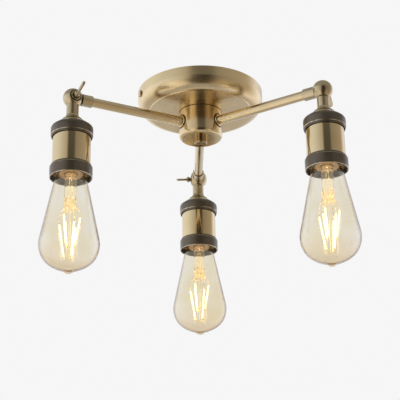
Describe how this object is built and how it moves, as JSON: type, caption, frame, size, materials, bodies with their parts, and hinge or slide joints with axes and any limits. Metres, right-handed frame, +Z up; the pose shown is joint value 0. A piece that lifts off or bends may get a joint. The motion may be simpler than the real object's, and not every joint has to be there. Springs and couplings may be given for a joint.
{
  "type": "semi flush ceiling light",
  "caption": "Semi flush ceiling light in antique brass: round canopy, drum hub, level arms with ball knuckles and thumb levers, each with a downward lampholder and a pear-shaped amber bulb.",
  "frame": {"origin": "centre of the ceiling plane, midway between the bracket's two fixing screws", "axes": "+Z up into the ceiling, +Y along the arm that points away from the picture's camera, +X to the picture's right"},
  "size_m": [0.3337, 0.3079, 0.2402],
  "materials": {
    "antique_brass": "satin antique",
    "polished_brass": "polished, lightly brushed round",
    "dark_bronze": "satin dark bronze, worn at the edges",
    "zinc_steel": "zinc plated",
    "white_plastic": "moulded",
    "lead_insulation": "smooth insulation",
    "porcelain": "glazed",
    "contact_brass": "plain",
    "cap_metal": "plain, drawn thread",
    "amber_glass": "clear with a light amber tint",
    "clear_glass": "clear",
    "filament_yellow": "coated sticks"
  },
  "bodies": {
    "fixture": {"ceiling_bracket": "zinc_steel", "canopy": "antique_brass", "canopy_screws": "antique_brass", "terminal_block": "white_plastic", "terminal_screws": "zinc_steel", "hub": "antique_brass", "centre_rod": "zinc_steel", "lock_nuts": "zinc_steel", "finial": "antique_brass", "arm_leads": "lead_insulation", "arm_ferrules": "antique_brass", "arm_tube_back": "antique_brass", "arm_knuckle_back": "antique_brass", "arm_tube_left": "antique_brass", "arm_knuckle_left": "antique_brass", "arm_tube_right": "antique_brass", "arm_knuckle_right": "antique_brass"},
    "head_back": {"head_knuckle_back": "antique_brass", "neck_ring_back": "antique_brass", "holder_cap_back": "dark_bronze", "holder_body_back": "polished_brass", "shade_ring_back": "dark_bronze", "socket_insulator_back": "porcelain", "socket_contacts_back": "contact_brass", "head_leads_back": "lead_insulation"},
    "lever_back": {"thumb_lever_back": "antique_brass"},
    "bulb_carrier_back": {"bulb_contact_back": "contact_brass"},
    "bulb_back": {"bulb_cap_back": "cap_metal", "bulb_glass_back": "amber_glass", "bulb_stem_back": "clear_glass", "bulb_filaments_back": "filament_yellow"},
    "head_left": {"head_knuckle_left": "antique_brass", "neck_ring_left": "antique_brass", "holder_cap_left": "dark_bronze", "holder_body_left": "polished_brass", "shade_ring_left": "dark_bronze", "socket_insulator_left": "porcelain", "socket_contacts_left": "contact_brass", "head_leads_left": "lead_insulation"},
    "lever_left": {"thumb_lever_left": "antique_brass"},
    "bulb_carrier_left": {"bulb_contact_left": "contact_brass"},
    "bulb_left": {"bulb_cap_left": "cap_metal", "bulb_glass_left": "amber_glass", "bulb_stem_left": "clear_glass", "bulb_filaments_left": "filament_yellow"},
    "head_right": {"head_knuckle_right": "antique_brass", "neck_ring_right": "antique_brass", "holder_cap_right": "dark_bronze", "holder_body_right": "polished_brass", "shade_ring_right": "dark_bronze", "socket_insulator_right": "porcelain", "socket_contacts_right": "contact_brass", "head_leads_right": "lead_insulation"},
    "lever_right": {"thumb_lever_right": "antique_brass"},
    "bulb_carrier_right": {"bulb_contact_right": "contact_brass"},
    "bulb_right": {"bulb_cap_right": "cap_metal", "bulb_glass_right": "amber_glass", "bulb_stem_right": "clear_glass", "bulb_filaments_right": "filament_yellow"}
  },
  "joints": [
    {"name": "tilt_back", "type": "hinge", "parent": "fixture", "child": "head_back", "pos_m": [0, 0.1564, -0.0393], "axis": [1, 0, 0], "range_deg": [-20, 90]},
    {"name": "lever_turn_back", "type": "hinge", "parent": "fixture", "child": "lever_back", "pos_m": [0, 0.1564, -0.0393], "axis": [-1, 0, 0], "range_deg": [-15, 180]},
    {"name": "bulb_out_back", "type": "slide", "parent": "head_back", "child": "bulb_carrier_back", "axis": [0, 0, -1], "range_m": [0, 0.01455]},
    {"name": "bulb_turn_back", "type": "hinge", "parent": "bulb_carrier_back", "child": "bulb_back", "pos_m": [0, 0.1564, -0.08], "axis": [0, 0, -1], "range_deg": [0, 1440]},
    {"name": "tilt_left", "type": "hinge", "parent": "fixture", "child": "head_left", "pos_m": [-0.13997, -0.06978, -0.0393], "axis": [-0.4462, 0.8949, 0], "range_deg": [-20, 90]},
    {"name": "lever_turn_left", "type": "hinge", "parent": "fixture", "child": "lever_left", "pos_m": [-0.13997, -0.06978, -0.0393], "axis": [0.4462, -0.8949, 0], "range_deg": [-15, 180]},
    {"name": "bulb_out_left", "type": "slide", "parent": "head_left", "child": "bulb_carrier_left", "axis": [0, 0, -1], "range_m": [0, 0.01455]},
    {"name": "bulb_turn_left", "type": "hinge", "parent": "bulb_carrier_left", "child": "bulb_left", "pos_m": [-0.13997, -0.06978, -0.08], "axis": [0, 0, -1], "range_deg": [0, 1440]},
    {"name": "tilt_right", "type": "hinge", "parent": "fixture", "child": "head_right", "pos_m": [0.12966, -0.08746, -0.0393], "axis": [-0.5592, -0.829, 0], "range_deg": [-20, 90]},
    {"name": "lever_turn_right", "type": "hinge", "parent": "fixture", "child": "lever_right", "pos_m": [0.12966, -0.08746, -0.0393], "axis": [0.5592, 0.829, 0], "range_deg": [-15, 180]},
    {"name": "bulb_out_right", "type": "slide", "parent": "head_right", "child": "bulb_carrier_right", "axis": [0, 0, -1], "range_m": [0, 0.01455]},
    {"name": "bulb_turn_right", "type": "hinge", "parent": "bulb_carrier_right", "child": "bulb_right", "pos_m": [0.12966, -0.08746, -0.08], "axis": [0, 0, -1], "range_deg": [0, 1440]}
  ],
  "couplings": [
    {"joint": "bulb_out_back", "follows": "bulb_turn_back", "m_per_rad": 0.0005776},
    {"joint": "bulb_out_left", "follows": "bulb_turn_left", "m_per_rad": 0.0005776},
    {"joint": "bulb_out_right", "follows": "bulb_turn_right", "m_per_rad": 0.0005776}
  ]
}
